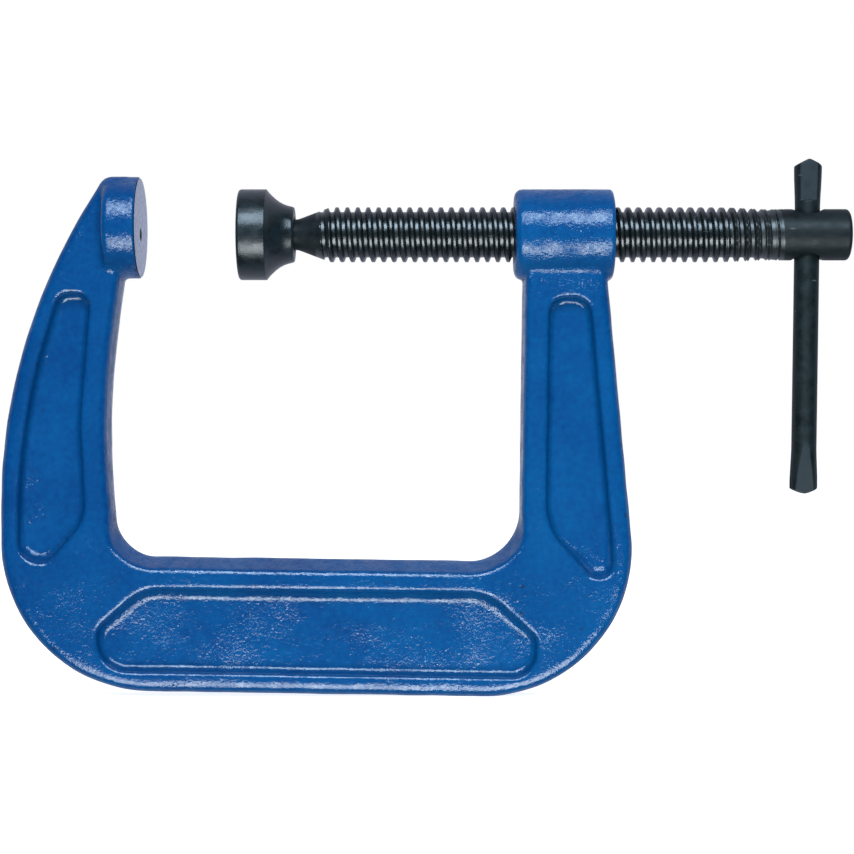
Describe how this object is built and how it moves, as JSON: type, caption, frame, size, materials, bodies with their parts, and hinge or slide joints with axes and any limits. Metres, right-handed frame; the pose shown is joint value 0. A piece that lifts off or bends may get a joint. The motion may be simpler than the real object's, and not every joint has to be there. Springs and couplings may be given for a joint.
{
  "type": "c clamp",
  "caption": "C-shaped hand clamp with pocketed cast arms, a threaded boss, a right-hand screw with a swivel pad and a sliding tommy bar that turns it.",
  "frame": {"origin": "the point where the screw's axis meets the machined face of the anvil", "axes": "+X along the screw's axis from the anvil towards the screw's head, +Z away from the spine, +Y across the frame's thickness; the frame is symmetric about Y = 0"},
  "size_m": [0.2702, 0.0324, 0.1715],
  "materials": {
    "blue_enamel": "gloss blue enamel over a cast surface, with a bare machined anvil face",
    "black_oxide_steel": "black oxide, lightly oiled",
    "bar_steel": "dark oxide bar stock",
    "spring_steel": "bare spring steel",
    "hardened_ball": "polished"
  },
  "bodies": {
    "frame": {"frame": "blue_enamel"},
    "thrust_ball": {"thrust_ball": "hardened_ball"},
    "screw": {"screw": "black_oxide_steel"},
    "tommy_bar": {"tommy_bar": "bar_steel"},
    "retaining_ring": {"retaining_ring": "spring_steel"},
    "swivel_pad": {"swivel_pad": "black_oxide_steel"}
  },
  "joints": [
    {"name": "screw_travel", "type": "slide", "parent": "frame", "child": "thrust_ball", "axis": [1, 0, 0], "range_m": [-0.03, 0.0694]},
    {"name": "screw_spin", "type": "hinge", "parent": "thrust_ball", "child": "screw", "pos_m": [0.042, 0, 0], "axis": [1, 0, 0], "range_deg": [-3240, 7500]},
    {"name": "bar_slide", "type": "slide", "parent": "screw", "child": "tommy_bar", "axis": [0.0148, 0, 0.9999], "range_m": [0, 0.06]},
    {"name": "pad_tilt", "type": "hinge", "parent": "thrust_ball", "child": "retaining_ring", "pos_m": [0.042, 0, 0], "axis": [0, 1, 0], "range_deg": [-5, 5]},
    {"name": "pad_spin", "type": "hinge", "parent": "retaining_ring", "child": "swivel_pad", "pos_m": [0.042, 0, 0], "axis": [1, 0, 0], "continuous": true}
  ],
  "couplings": [
    {"joint": "screw_travel", "follows": "screw_spin", "m_per_rad": 0.00052919}
  ]
}
